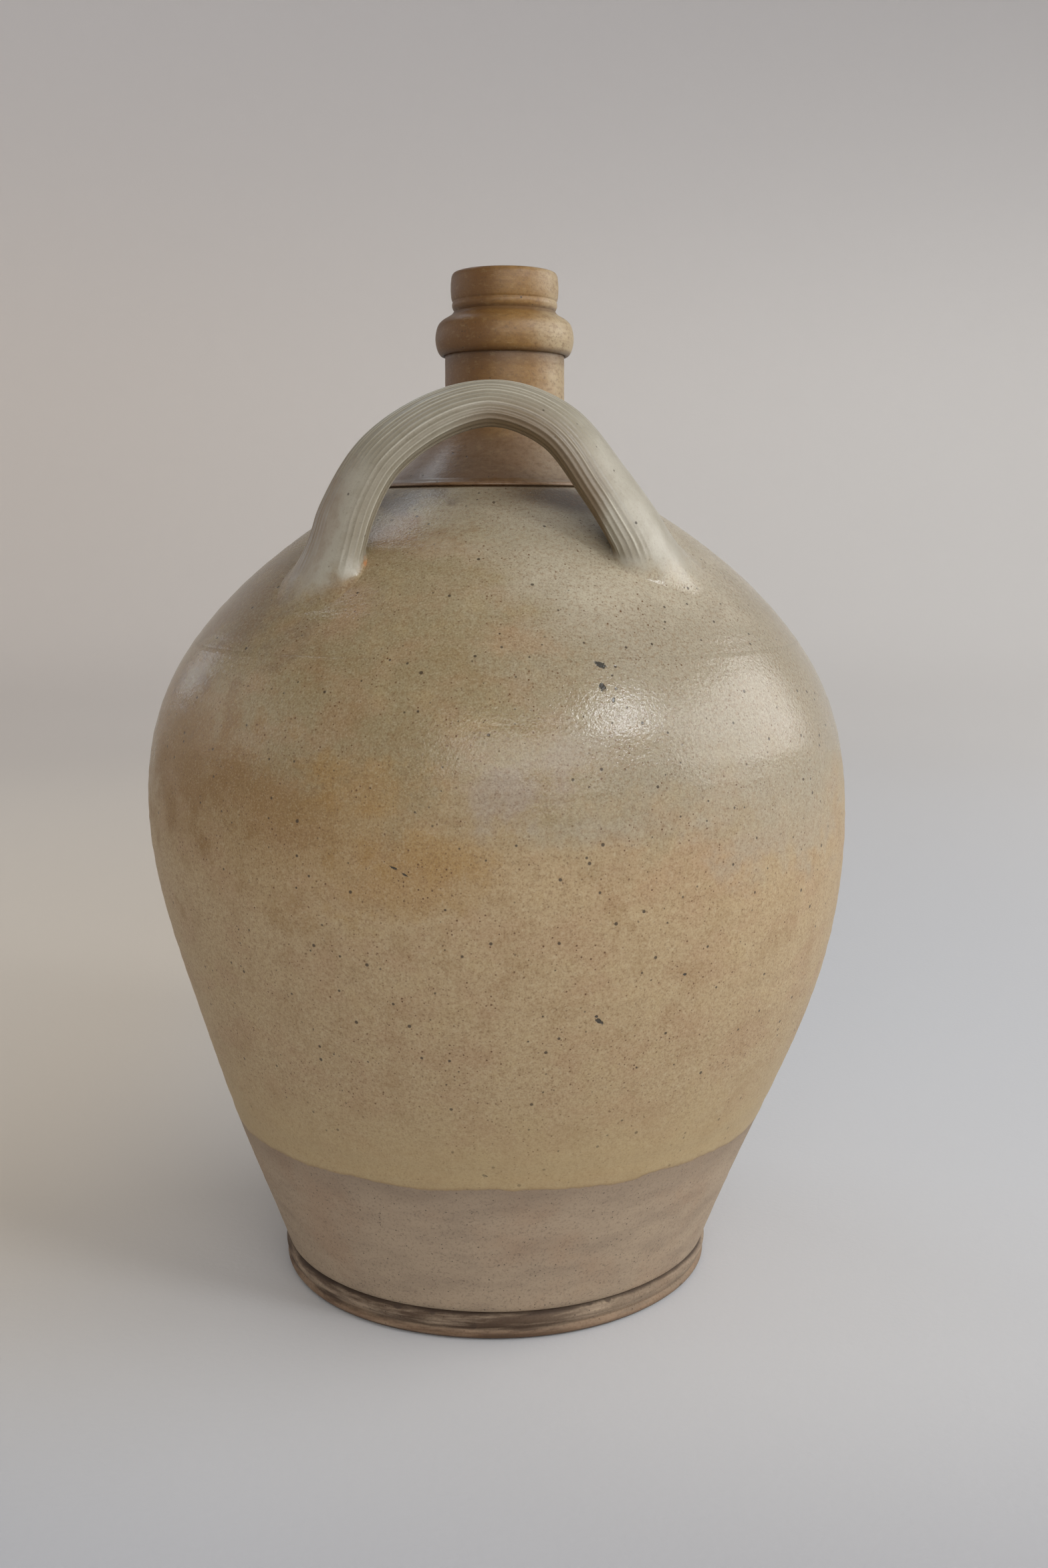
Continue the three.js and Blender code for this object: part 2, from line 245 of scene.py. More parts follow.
def clay_layers(place):
    """Bare stoneware: pinkish grey, with ashen smudges drawn out round the jug, flushes and iron specks."""
    smudge = cloud(place, 20 * MM, 6.0, (1, 1, 3.0))
    colour = over(between(smudge, 0.36, 0.76) * 0.5, PINK_CLAY, ASHEN_CLAY)
    colour = over(between(cloud(place, 40 * MM, 4.0), 0.5, 0.7) * 0.5, colour, FLUSHED_CLAY)
    grain = cloud(place, 0.9 * MM, 3.0)
    colour = over(between(grain, 0.48, 0.75) * 0.4, colour, CLAY_SPECK)
    dust = specks(place, 1.8 * MM, 0.4 * MM)
    colour = over(dust * 0.75, colour, CLAY_SPECK)
    lines = cloud(place, 1.1 * MM, 1.0, (0.05, 0.05, 1))
    return colour, 0.62 + grain * 0.25, grain * 0.08 + lines * 0.06 - dust * 0.05


bare_clay = fired("bare_fired_clay", clay_layers)
slab_top = slab_high.z
slab_core = slab_radius / 3
base_slab = placed("base_slab", turned("base_slab", [
    (slab_core, 0),
    (slab_radius - SLAB_EDGE_ROUND, 0),
    (slab_radius, SLAB_EDGE_ROUND),
    (slab_radius, slab_top - SLAB_EDGE_ROUND),
    (slab_radius - SLAB_EDGE_ROUND, slab_top),
    (slab_core, slab_top),
], loop=False))
base_slab.data.materials.append(bare_clay)
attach(base_slab, "root")
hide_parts("base_disc")

# Foot bead
# A coil of clay rolled round the slab and turned to two soft ridges below a cut groove. It is bare, brown
# where flame and handling reached it and browner on the left, and darker in the groove, between the ridges
# and along the worn sole.
BEAD_LINE = (
    (81.0, 0), (82.7, 0.8), (83.7, 2.5), (82.9, 4.3),
    (83.8, 6.0), (84.2, 7.8), (83.7, 9.5), (82.0, 10.6),
)
BEAD_STEPS = 6
BROWNED_CLAY = (66, 46, 29)
RUSTY_CLAY = (118, 86, 58)
FOOT_DARKENING = (58, 44, 34)


def hermite(start, leave, end, arrive, share):
    """A cubic between two points with the slopes at which it leaves and arrives."""
    two, three = share * share, share * share * share
    first = start * (2 * three - 3 * two + 1) + leave * (three - 2 * two + share)
    return first + end * (3 * two - 2 * three) + arrive * (three - two)


def flowing(points, steps):
    """Points of a smooth curve through the given ones (a centripetal Catmull-Rom spline)."""
    points = np.array(points, float)
    run = np.vstack([2 * points[0] - points[1], points, 2 * points[-1] - points[-2]])
    share = np.linspace(0, 1, steps + 1)[1:, None]
    curve = [points[:1]]
    for before, start, end, after in zip(run, run[1:], run[2:], run[3:]):
        back, here, onward = (np.sqrt(np.linalg.norm(b - a))
                              for a, b in ((before, start), (start, end), (end, after)))
        leave = (start - before) / back - (end - before) / (back + here) + (end - start) / here
        arrive = (end - start) / here - (after - start) / (here + onward) + (after - end) / onward
        curve.append(hermite(start, leave * here, end, arrive * here, share))
    return np.vstack(curve)


def thrown_rings():
    """A node tree that works the wheel's rings and a slow swell into a turned piece, square to the axis."""
    tree = bpy.data.node_groups.new("thrown_rings", "GeometryNodeTree")
    sockets = [("clay", "Geometry"), ("ring_pitch", "Float"), ("ring_depth", "Float")]
    sockets += [("swell_size", "Float"), ("swell_depth", "Float"), ("finish", "Material")]
    for name, kind in sockets:
        tree.interface.new_socket(name, in_out="INPUT", socket_type="NodeSocket" + kind)
    tree.interface.new_socket("clay", in_out="OUTPUT", socket_type="NodeSocketGeometry")
    given = Wire(tree).node("NodeGroupInput")
    place = given.node("GeometryNodeInputPosition")
    apart = place.node("ShaderNodeSeparateXYZ", {0: place})
    turn = apart.other("Z") / given.other("ring_pitch")
    ring = place.node("ShaderNodeTexNoise", {"W": turn, "Scale": 1.0}, noise_dimensions="1D")
    swell_scale = 1 / given.other("swell_size")
    swell = place.node("ShaderNodeTexNoise", {"Vector": place, "Scale": swell_scale, "Detail": 0.0})
    depth = (ring - 0.5) * given.other("ring_depth") + (swell - 0.5) * given.other("swell_depth")
    flat = place.node("ShaderNodeCombineXYZ", {"X": apart, "Y": apart.other("Y")})
    outward = flat.node("ShaderNodeVectorMath", {0: flat}, operation="NORMALIZE")
    push = flat.node("ShaderNodeVectorMath", {0: outward, "Scale": depth}, operation="SCALE")
    moved = given.node("GeometryNodeSetPosition", {"Geometry": given.other("clay"), "Offset": push})
    whole = given.node("GeometryNodeRealizeInstances", {"Geometry": moved})
    glazed = given.node("GeometryNodeSetMaterial", {"Geometry": whole, "Material": given.other("finish")})
    given.node("NodeGroupOutput", {0: glazed})
    return tree


def worked(piece, tree, sizes):
    """Runs a node tree on a piece and keeps the result as the piece's own plain mesh."""
    modifier = piece.modifiers.new(tree.name, "NODES")
    modifier.node_group = tree
    for socket in tree.interface.items_tree:
        if socket.in_out == "INPUT" and socket.name in sizes:
            modifier[socket.identifier] = sizes[socket.name]
    depsgraph = bpy.context.evaluated_depsgraph_get()
    result = piece.evaluated_get(depsgraph)
    mesh = bpy.data.meshes.new_from_object(result, preserve_all_data_layers=True, depsgraph=depsgraph)
    piece.modifiers.remove(modifier)
    piece.data = mesh
    return piece


wheel_rings = thrown_rings()
WHEEL_MARKS = {"ring_pitch": 5 * MM, "ring_depth": 0.4 * MM, "swell_size": 70 * MM, "swell_depth": 1.4 * MM}


def bead_layers(place):
    """Browned clay with rusty ridges, darker in the groove, between the ridges and on the sole."""
    clay, roughness, relief = clay_layers(place)
    apart = place.node("ShaderNodeSeparateXYZ", {0: place})
    height = apart.other("Z") / MM
    streak = cloud(place, 26 * MM, 5.0, (1, 1, 9))
    # Browner on the left half than on the right.
    browned = between(streak, 0.28, 0.6) * (0.95 - between(apart / MM, 0.0, 60.0) * 0.5)
    colour = over(browned, clay, BROWNED_CLAY)
    colour = over(between(height + (streak - 0.5) * 12, 5.0, 2.0) * 0.45, colour, RUSTY_CLAY)
    # Darker in the groove, between the ridges and along the sole.
    ragged = height + (streak - 0.5) * 1.6
    darkened = between(ragged, 2.2, 0.2) + between(ragged, 9.0, 10.5) + specks(place, 7 * MM, 2.2 * MM) * 0.6
    between_ridges = between(height, 3.7, 4.5) * between(height, 5.3, 4.5)
    colour = over(between(darkened + between_ridges * 0.45, 0.1, 1.0) * 0.8, colour, FOOT_DARKENING)
    return colour, roughness, relief


bead_inside = slab_radius / MM
bead_outline = [*flowing(BEAD_LINE, BEAD_STEPS), (bead_inside, bead_high.z / MM), (bead_inside, 0)]
rolled_bead = placed("rolled_foot_bead", turned("rolled_foot_bead", np.array(bead_outline) * MM))
worked(rolled_bead, wheel_rings, {**WHEEL_MARKS, "finish": fired("browned_foot_clay", bead_layers)})
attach(rolled_bead, "root")
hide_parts("foot_bead")

# Lower wall
# The belly, thrown in one from the foot to the faint seam below the shoulder. It was dipped in a thin ash
# glaze down to a hand's breadth above the foot, and the kiln toasted the belly to tan where flame passed.
FOOT_RADIUS = 83.4
FOOT_LEAN = 0.35
SEAM_RADIUS = 114.0
SEAM_LEAN = -0.745
SHOULDER_RADIUS = 45.5
SHOULDER_LEAN = -1.8
WALL = 8.5
GROOVE_CUT = 1.0
SEAM_CUT = 0.05
OUTER_STEP = 1.7
INNER_STEP = 6.0
LEAN_STEP = 0.01
GLAZE_EDGE = 65.4
OLIVE_CREAM = (146, 131, 99)
GREY_CREAM = (153, 144, 125)
OCHRE_TAN = (173, 151, 116)
TOASTED_TAN = (155, 122, 70)
KILN_BROWN = (130, 98, 50)
RUST_DUST = (98, 68, 42)
MAUVE_GREY = (146, 131, 114)
SHOULDER_MAUVE = (94, 78, 63)
PAINTED_SHADOW_BROWN = (66, 50, 38)
UMBER_AND_LEFT_SHADE = (122, 104, 82)
PEACH = (162, 129, 98)
STRAW = (172, 150, 108)
TOP_LIT_SHOULDER_CREAM = (188, 178, 156)
RUST_STAIN = (128, 97, 62)
IRON_BROWN = (56, 43, 30)
PALE_GRAIN = (198, 188, 162)
BLISTER_BLACK = (44, 42, 38)
CHIPPED_CLAY = (172, 118, 74)

wall_low, wall_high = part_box("lower_wall")
belly_radius = (wall_high.x - wall_low.x) / 2 / MM
bead_top = bead_high.z / MM
belly_height = BELLY_HEIGHT / MM
seam_height = wall_high.z / MM
shoulder_height = shoulder_high.z / MM
WALL_POINTS = (
    (bead_top, FOOT_RADIUS, FOOT_LEAN),
    (belly_height, belly_radius, 0.0),
    (seam_height, SEAM_RADIUS, SEAM_LEAN),
    (shoulder_height, SHOULDER_RADIUS, SHOULDER_LEAN),
)


def wall_radius(height):
    """Radius of the jug's outer line at heights in millimetres, through its four turning points."""
    height = np.asarray(height, float)
    radius = np.full(height.shape, FOOT_RADIUS)
    for (low, near, leave), (high, far, arrive) in zip(WALL_POINTS, WALL_POINTS[1:]):
        rise = high - low
        share = np.clip((height - low) / rise, 0, 1)
        radius = np.where(height >= low, hermite(near, leave * rise, far, arrive * rise, share), radius)
    return radius


def wall_line(low, high, step, inset=0.0):
    """Radius and height points of the wall between two heights, moved square to it by the inset."""
    height = np.linspace(low, high, max(2, round((high - low) / step) + 1))
    lean = (wall_radius(height + LEAN_STEP) - wall_radius(height - LEAN_STEP)) / (2 * LEAN_STEP)
    square = np.sqrt(1 + lean * lean)
    return np.stack([wall_radius(height) - inset / square, height + inset * lean / square], axis=1)


def patch(place, wander, centre, radii, turn=0.0):
    """A soft patch of a firing mark: 1 at its centre and 0 past its radii (mm), with an edge that wanders."""
    sockets = {"Vector": place, "Location": [c * MM for c in centre], "Scale": [r * MM for r in radii]}
    sockets["Rotation"] = (0.0, math.radians(turn), 0.0)
    local = place.node("ShaderNodeMapping", sockets, vector_type="TEXTURE")
    distance = local.node("ShaderNodeVectorMath", {0: local}, out="Value", operation="LENGTH")
    return between(distance + wander, 1.05, 0.2)


# Marks of the firing on the front of the belly and shoulder, with the umber on the left partly painted shade:
# centre and reach in millimetres, turn in degrees, strength, and the colour that each one tints the glaze
# with.
FIRING_MARKS = (
    ((8, -131, 205), (21, 40, 13), -12, 0.8, MAUVE_GREY),
    ((25, -124, 217), (22, 40, 9), -20, 0.45, MAUVE_GREY),
    ((-22, -131, 187), (27, 40, 10), 6, 0.6, TOASTED_TAN),
    ((-78, -106, 203), (44, 56, 24), 14, 0.6, KILN_BROWN),
    ((-38, -124, 208), (30, 40, 13), 4, 0.45, TOASTED_TAN),
    ((-28, -130, 176), (34, 40, 12), -4, 0.45, TOASTED_TAN),
    ((-104, -72, 212), (46, 70, 44), 0, 0.8, KILN_BROWN),
    ((-33, -66, 286), (24, 22, 10), 10, 0.75, RUST_STAIN),
    ((9, -110, 251), (17, 22, 6), 2, 0.35, PEACH),
    ((-56, -102, 243), (4.2, 16, 14), -4, 0.55, RUST_STAIN),
    ((-48, -92, 259), (9, 16, 13), 22, 0.45, PEACH),
    ((74, -108, 182), (38, 60, 9), -4, 0.4, PEACH),
    ((-34, -44, 297), (26, 26, 7), 0, 0.8, SHOULDER_MAUVE),
    # Umber on the left of the belly and shoulder: partly the glaze's tone, partly painted shade on the side
    # away from the light.
    ((-84, -52, 258), (46, 60, 38), 30, 0.75, UMBER_AND_LEFT_SHADE),
    ((30, -128, 194), (36, 40, 7), 0, 0.5, GREY_CREAM),
    ((98, -84, 194), (46, 70, 26), 0, 0.6, GREY_CREAM),
)
# A patch below the groove on the right, along the strap's inner edge: the strap's painted shadow on the
# shoulder.
STRAP_SHADOW_PATCH = ((25, -48, 297.5), (34, 26, 8.0), 8)
BLISTERS = (
    ((34.6, -109.8, 244.0), (2.6, 6, 1.15), 24),
    ((35.2, -114.4, 237.4), (1.3, 6, 1.6), -30),
    ((38.5, -116.5, 233.4), (0.6, 6, 1.1), 20),
    ((34.6, -121.0, 130.3), (2.0, 6, 1.0), 38),
    ((33.6, -121.6, 132.2), (0.9, 6, 0.7), -20),
    ((-30.2, -129.5, 182.2), (1.9, 6, 0.45), 22),
    ((-26.8, -129.5, 180.2), (1.4, 6, 0.4), 30),
    ((-2.9, -106.9, 71.9), (1.2, 6, 0.55), 24),
    ((62.6, -113.5, 143.6), (0.8, 6, 0.6), 0),
)


def glaze_layers(place):
    """Thin ash glaze: olive cream above, toasted on the belly, freckled with iron, glossy on the shoulder."""
    apart = place.node("ShaderNodeSeparateXYZ", {0: place})
    across, height = apart / MM, apart.other("Z") / MM
    drift = cloud(place, 48 * MM, 5.0, (1, 1, 1.5))
    mottle = cloud(place, 12 * MM, 6.0)
    blush = cloud(place, 20 * MM, 6.0, (1, 1, 1.6))
    level = height + (drift - 0.5) * 90 + (mottle - 0.5) * 36
    colour = over(between(level, 170, 220), OCHRE_TAN, OLIVE_CREAM)
    flush = between(level + across * 0.16, 150, 178) * between(level + across * 0.16, 212, 184)
    colour = over(flush * (0.1 + between(across, 25.0, -50.0) * 0.3), colour, TOASTED_TAN)
    colour = over(between(blush, 0.44, 0.68) * 0.36, colour, PEACH)
    colour = over(between(mottle, 0.46, 0.74) * 0.26, colour, KILN_BROWN)
    colour = over(between(mottle, 0.5, 0.3) * 0.3, colour, STRAW)
    greyed = between(across + (drift - 0.5) * 80 + (height - 225) * 0.5, 0.0, 60.0) * between(level, 184, 222)
    colour = over(greyed * 0.85, colour, GREY_CREAM)
    # The top of the shoulder is paler: partly a paler cream glaze, partly painted light from above.
    crown = between(level, 246, 282) * between(across + (blush - 0.5) * 60, -45.0, 30.0)
    colour = over(crown * 0.55, colour, TOP_LIT_SHOULDER_CREAM)
    wander = (mottle - 0.5) * 2.8 + (drift - 0.5) * 1.6
    for centre, reach, turn, strength, tint in FIRING_MARKS:
        colour = over(patch(place, wander, centre, reach, turn) * strength, colour, tint)
    # The strap's shadow on the shoulder, painted into the glaze as a dark brown band.
    shade = patch(place, (drift - 0.5) * 0.8, *STRAP_SHADOW_PATCH)
    colour = over(shade * 0.9, colour, PAINTED_SHADOW_BROWN)
    freckle = cloud(place, 1.4 * MM, 4.0)
    colour = over(between(freckle, 0.47, 0.7) * 0.36, colour, RUST_STAIN)
    colour = over(between(freckle, 0.47, 0.3) * 0.14, colour, PALE_GRAIN)
    grain = cloud(place, 0.65 * MM, 3.0)
    colour = over(between(grain, 0.48, 0.72) * 0.46, colour, RUST_DUST)
    colour = over(between(grain, 0.48, 0.28) * 0.22, colour, PALE_GRAIN)
    dust = specks(place, 1.5 * MM, 0.44 * MM) * (0.5 + between(blush, 0.4, 0.6) * 0.5)
    spots = specks(place, 4.4 * MM, 0.8 * MM)
    colour = over(dust, colour, RUST_DUST)
    colour = over(spots * 0.85, colour, IRON_BROWN)
    blister = 0.0
    crumbled = (cloud(place, 1.4 * MM) - 0.5) * 1.4
    for centre, reach, turn in BLISTERS:
        blister = patch(place, crumbled, centre, reach, turn) + blister
    blister = between(blister, 0.1, 0.6)
    colour = over(blister * 0.92, colour, BLISTER_BLACK)
    gloss = between(level, 176, 226) * (1 - between(height, 256, 288) * 0.3)
    peel = cloud(place, 1.2 * MM, 2.0)
    lines = cloud(place, 1.6 * MM, 1.0, (0.04, 0.04, 1))
    roughness = 0.46 - gloss * 0.31 + grain * 0.08
    relief = peel * (0.02 + gloss * 0.15) + grain * 0.02 + lines * 0.02 - blister * 0.25 - spots * 0.05
    return colour, roughness, relief


def body_layers(place):
    """The glaze as far down as the dip reached, with a thicker straw edge, and bare clay below it."""
    glaze, glaze_roughness, glaze_relief = glaze_layers(place)
    clay, clay_roughness, clay_relief = clay_layers(place)
    apart = place.node("ShaderNodeSeparateXYZ", {0: place})
    edge = apart.other("Z") / MM - GLAZE_EDGE - (cloud(place, 30 * MM, 4.0) - 0.5) * 7
    dipped = between(edge, -0.3, 0.4)
    glaze = over(between(edge, 44.0, 1.0) * 0.55, glaze, STRAW)
    glaze = over(between(edge, 1.4, 0.2) * 0.35, glaze, RUST_STAIN)
    clay = over(between(edge, -14.0, -1.0) * 0.4, clay, ASHEN_CLAY)
    colour = over(dipped, clay, glaze)
    roughness = clay_roughness + dipped * (glaze_roughness - clay_roughness)
    return colour, roughness, clay_relief + dipped * (glaze_relief - clay_relief + 0.12)


ash_glaze = fired("toasted_ash_glaze", body_layers)
lower_outline = [
    (float(wall_radius(bead_top)) - GROOVE_CUT, bead_top),
    *wall_line(bead_top + GROOVE_CUT, seam_height - SEAM_CUT, OUTER_STEP),
    (SEAM_RADIUS - SEAM_CUT, seam_height),
    *wall_line(bead_top + WALL / 2, seam_height, INNER_STEP, WALL)[::-1],
    (float(wall_radius(bead_top)) - WALL, bead_top),
]
thrown_belly = placed("thrown_lower_wall", turned("thrown_lower_wall", np.array(lower_outline) * MM))
worked(thrown_belly, wheel_rings, {**WHEEL_MARKS, "finish": ash_glaze})
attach(thrown_belly, "root")
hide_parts("lower_wall")

# Shoulder
# The dome above the seam, closed in on the wheel to the seat of the neck. Two fine turning lines run round
# it, and the glaze is at its thickest and glossiest here.
TURNING_LINES = (260.5, 281.5)
TURNING_CUT = 0.14
TURNING_WIDTH = 0.5
SHOULDER_STEP = 0.8
NECK_SEAT_RADIUS = 36.2
GROOVE_RADIUS = 43.6
GROOVE_FLOOR = 301.0

shoulder_line = wall_line(seam_height + SEAM_CUT, shoulder_height - GROOVE_CUT, SHOULDER_STEP)
for line_height in TURNING_LINES:
    cut = np.exp(-(((shoulder_line[:, 1] - line_height) / TURNING_WIDTH) ** 2))
    shoulder_line[:, 0] -= TURNING_CUT * cut
shoulder_inner = wall_line(seam_height, shoulder_height - GROOVE_CUT, INNER_STEP / 2, WALL)
shoulder_inner = shoulder_inner[shoulder_inner[:, 0] > NECK_SEAT_RADIUS]
shoulder_outline = [
    (SEAM_RADIUS - SEAM_CUT, seam_height),
    *shoulder_line,
    (GROOVE_RADIUS + 2 * GROOVE_CUT, shoulder_height - GROOVE_CUT / 2),
    (GROOVE_RADIUS + GROOVE_CUT / 2, GROOVE_FLOOR + GROOVE_CUT / 2),
    (GROOVE_RADIUS, GROOVE_FLOOR),
    (NECK_SEAT_RADIUS, GROOVE_FLOOR),
    *shoulder_inner[::-1],
]
thrown_shoulder = placed("thrown_shoulder", turned("thrown_shoulder", np.array(shoulder_outline) * MM))
worked(thrown_shoulder, wheel_rings, {**WHEEL_MARKS, "finish": ash_glaze})
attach(thrown_shoulder, "root")
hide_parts("upper_wall")

# Neck
# A bottle neck thrown by itself and luted into the shoulder's groove, where its foot is a fine pale lip.
# It is bored for a cork, and its thin glaze toasted to tan above a mauve-brown flare.
FLARE_RADIUS = 44.2
FLARE_LEAVES = 9.0
FLARE_TURNS_UP = 18.0
NECK_RADIUS = 22.3
NECK_TOP_RADIUS = 18.5
COLLAR_GRIP = 8.0
LIP_SEAT = 366.0
BORE_RADIUS = 15.0
FLARE_STEPS = 36
BORE_STEPS = 12
TUBE_STEPS = 10
NECK_LIP_STEPS = 4
NECK_RING_DEPTH = 0.2 * MM
NECK_LIP = ((43.4, 301.0), (43.7, 301.7), (44.7, 302.3), (44.6, 303.0), (43.3, 303.9))
FLARE_STARTS = 0.06
NECK_CHIP = ((4.4, -16.4, 380.4), (2.0, 2.6, 1.2))
NECK_BROWN_AND_SHADE = (103, 70, 32)
NECK_TAN = (131, 97, 50)
NECK_CREAM_AND_LIGHT = (164, 145, 113)
CREASE_SHADE_BROWN = (78, 54, 33)
FLARE_MAUVE_AND_HIGHLIGHT = (138, 122, 110)
FLARE_BROWN = (124, 96, 68)
FLARE_CREAM_AND_LIGHT = (146, 128, 106)

collar_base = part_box("string_collar")[0].z / MM
tube_start = shoulder_height + NECK_FLARE_RISE / MM


def neck_layers(place):
    """Thin glaze toasted brown on the left and cream on the right, partly painted shade and light, mauve on
    the flare with a painted highlight, painted shade in its creases, freckled and lined.
    """
    apart = place.node("ShaderNodeSeparateXYZ", {0: place})
    height = apart.other("Z") / MM
    cloudy = cloud(place, 15 * MM, 4.0)
    across = apart / MM + (cloudy - 0.5) * 24
    # Brown on the left and cream on the right: partly toasted glaze, partly painted shade and light, as the
    # light falls from the right.
    colour = over(between(across, -8.0, 8.0), NECK_BROWN_AND_SHADE, NECK_TAN)
    colour = over(between(across, 10.0, 27.0), colour, NECK_CREAM_AND_LIGHT)
    # The flare's mauve on the left is lightened as a painted highlight, and its cream on the right is partly
    # painted light.
    flare = over(between(across, -34.0, -14.0), FLARE_MAUVE_AND_HIGHLIGHT, FLARE_BROWN)
    flare = over(between(across, 2.0, 30.0), flare, FLARE_CREAM_AND_LIGHT)
    colour = over(between(height + (cloudy - 0.5) * 30, 334, 314), colour, flare)
    # Darkening just under the collar, in the crease between collar and lip, and above the flare's foot:
    # painted shade.
    crease_shade = between(height, 364.6, 366.0) * between(height, 368.2, 366.8)
    crease_shade = crease_shade + between(height, 344.0, 350.2) * between(height, 352.6, 351.0)
    crease_shade = crease_shade + between(height, 309.0, 304.0) * 0.4
    colour = over(crease_shade * 0.6, colour, CREASE_SHADE_BROWN)
    foot_lip = between(height, 302.1, 302.5) * between(height, 303.6, 302.9)
    colour = over(foot_lip * 0.5, colour, PEACH)
    freckle = cloud(place, 2.4 * MM, 5.0, (1, 1, 1.8))
    colour = over(between(freckle, 0.48, 0.68) * 0.45, colour, NECK_BROWN_AND_SHADE)
    colour = over(between(freckle, 0.48, 0.3) * 0.16, colour, STRAW)
    grain = cloud(place, 0.8 * MM, 3.0)
    colour = over(between(grain, 0.5, 0.8) * 0.45, colour, IRON_BROWN)
    spots = specks(place, 5.0 * MM, 0.6 * MM)
    colour = over(spots * 0.85, colour, IRON_BROWN)
    crumbled = (cloud(place, 1.4 * MM) - 0.5) * 1.4
    chip = patch(place, crumbled, *NECK_CHIP)
    colour = over(chip * 0.9, colour, BLISTER_BLACK)
    lines = cloud(place, 1.3 * MM, 2.0, (0.04, 0.04, 1))
    colour = over(between(lines, 0.5, 0.75) * 0.25, colour, NECK_BROWN_AND_SHADE)
    peel = cloud(place, 0.9 * MM, 1.0)
    roughness = 0.4 + grain * 0.1 - between(height, 326, 312) * 0.14
    return colour, roughness, peel * 0.06 + lines * 0.06 + grain * 0.02 - chip * 0.6 - spots * 0.05


toasted_glaze = fired("toasted_neck_glaze", neck_layers)
flare_share = np.linspace(0, 1, FLARE_STEPS + 1)[:, None]
flare = hermite(np.array((FLARE_RADIUS, shoulder_height)), 3 * np.array((-FLARE_LEAVES, FLARE_LEAVES)),
                np.array((NECK_RADIUS, tube_start)), 3 * np.array((0, FLARE_TURNS_UP)), flare_share)
bore_share = np.linspace(0, 1, BORE_STEPS + 1)[:, None]
bore = hermite(np.array((BORE_RADIUS, tube_start)), 3 * np.array((0, -FLARE_TURNS_UP)),
               np.array((NECK_SEAT_RADIUS, GROOVE_FLOOR)), 3 * np.array((FLARE_LEAVES, -FLARE_LEAVES)),
               bore_share)
neck_outline = [
    *flowing(NECK_LIP, NECK_LIP_STEPS),
    *flare[flare_share[:, 0] > FLARE_STARTS],
    *((NECK_RADIUS, height) for height in np.linspace(tube_start, collar_base, TUBE_STEPS)[1:]),
    (NECK_RADIUS, collar_base + COLLAR_GRIP),
    (NECK_TOP_RADIUS, LIP_SEAT),
    (BORE_RADIUS, LIP_SEAT),
    *bore,
]
bottle_neck = placed("bottle_neck", turned("bottle_neck", np.array(neck_outline) * MM))
worked(bottle_neck, wheel_rings, {**WHEEL_MARKS, "ring_depth": NECK_RING_DEPTH, "finish": toasted_glaze})
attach(bottle_neck, "root")
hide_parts("neck")

# String collar
# A round roll of clay below the mouth that the string of a tied-down cork holds under. Its under edge is
# crisp, and its top slopes up to the waist below the lip.
COLLAR_LINE = (
    (22.2, 351.2), (22.9, 350.6), (23.8, 350.7), (24.8, 351.9), (25.6, 354.2), (25.95, 357.0),
    (25.6, 359.6), (24.7, 361.9), (23.3, 363.4), (21.5, 364.5), (20.0, 365.5), (19.1, 366.6),
)
COLLAR_INSIDE = ((18.4, 366.6), (18.4, 364.6), (21.6, 361.0))
COLLAR_STEPS = 5

collar_outline = [*flowing(COLLAR_LINE, COLLAR_STEPS), *COLLAR_INSIDE]
rolled_collar = placed("rolled_string_collar", turned("rolled_string_collar", np.array(collar_outline) * MM))
worked(rolled_collar, wheel_rings, {**WHEEL_MARKS, "ring_depth": NECK_RING_DEPTH, "finish": toasted_glaze})
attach(rolled_collar, "root")
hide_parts("string_collar")

# Mouth lip
# The short band above the collar, turned with a fine line over a soft bead, and a flat rim that a cork's
# head rests on.
LIP_LINE = (
    (18.7, 366.0), (18.9, 366.7), (19.4, 367.6), (19.7, 368.6), (19.65, 369.6), (19.45, 370.2),
    (19.75, 370.8), (20.05, 372.4), (20.15, 375.0), (20.0, 377.6), (19.7, 379.4), (19.1, 380.4),
    (18.1, 380.8),
)
LIP_STEPS = 5
RIM_EDGE = ((15.8, 380.8), (15.2, 380.4), (15.0, 379.4))

lip_outline = [*flowing(LIP_LINE, LIP_STEPS), *RIM_EDGE, (BORE_RADIUS, LIP_LINE[0][1])]
turned_lip = placed("turned_mouth_lip", turned("turned_mouth_lip", np.array(lip_outline) * MM))
worked(turned_lip, wheel_rings, {**WHEEL_MARKS, "ring_depth": NECK_RING_DEPTH, "finish": toasted_glaze})
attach(turned_lip, "root")
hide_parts("mouth_lip")

# Strap handles
# Two straps of pulled clay, front and rear, combed into fine ribs while wet, arched over the fingers and
# twisted so that the outer face turns to the front on the left leg. The glaze pools between the ribs.
HANDLE_SPAN = 107.0
HANDLE_ROOT_OFFSET = 66.0
HANDLE_CROWN_OFFSET = 65.0
HANDLE_RISE = 52.8
STRAP_WIDTH = 28.0
STRAP_THICKNESS = 14.2
ROOT_HEIGHT = 13.0
ROOT_DEPTH = 12.0
ROOT_SPREAD = 1.2
SPREAD_POWER = 5
TWIST_LEFT = 42.0
TWIST_CROWN = 21.0
TWIST_RIGHT = 38.0
ARCH = (
    (-0.514, 0), (-0.469, 0.305), (-0.358, 0.673), (-0.164, 0.932), (0.02, 1),
    (0.205, 0.854), (0.35, 0.501), (0.458, 0.179), (0.508, 0),
)
HANDLES = (("front", False), ("rear", True))
ARCH_STEPS = 60
STRAP_STEPS = 150
STRAP_SIDES = 256
DOME_STEPS = 400
OVAL_STEPS = 2000
PATH_NUDGE = 0.004
RIB_COUNT = 33.0
RIB_DEPTH = 0.42 * MM
RIB_WANDER = 0.5
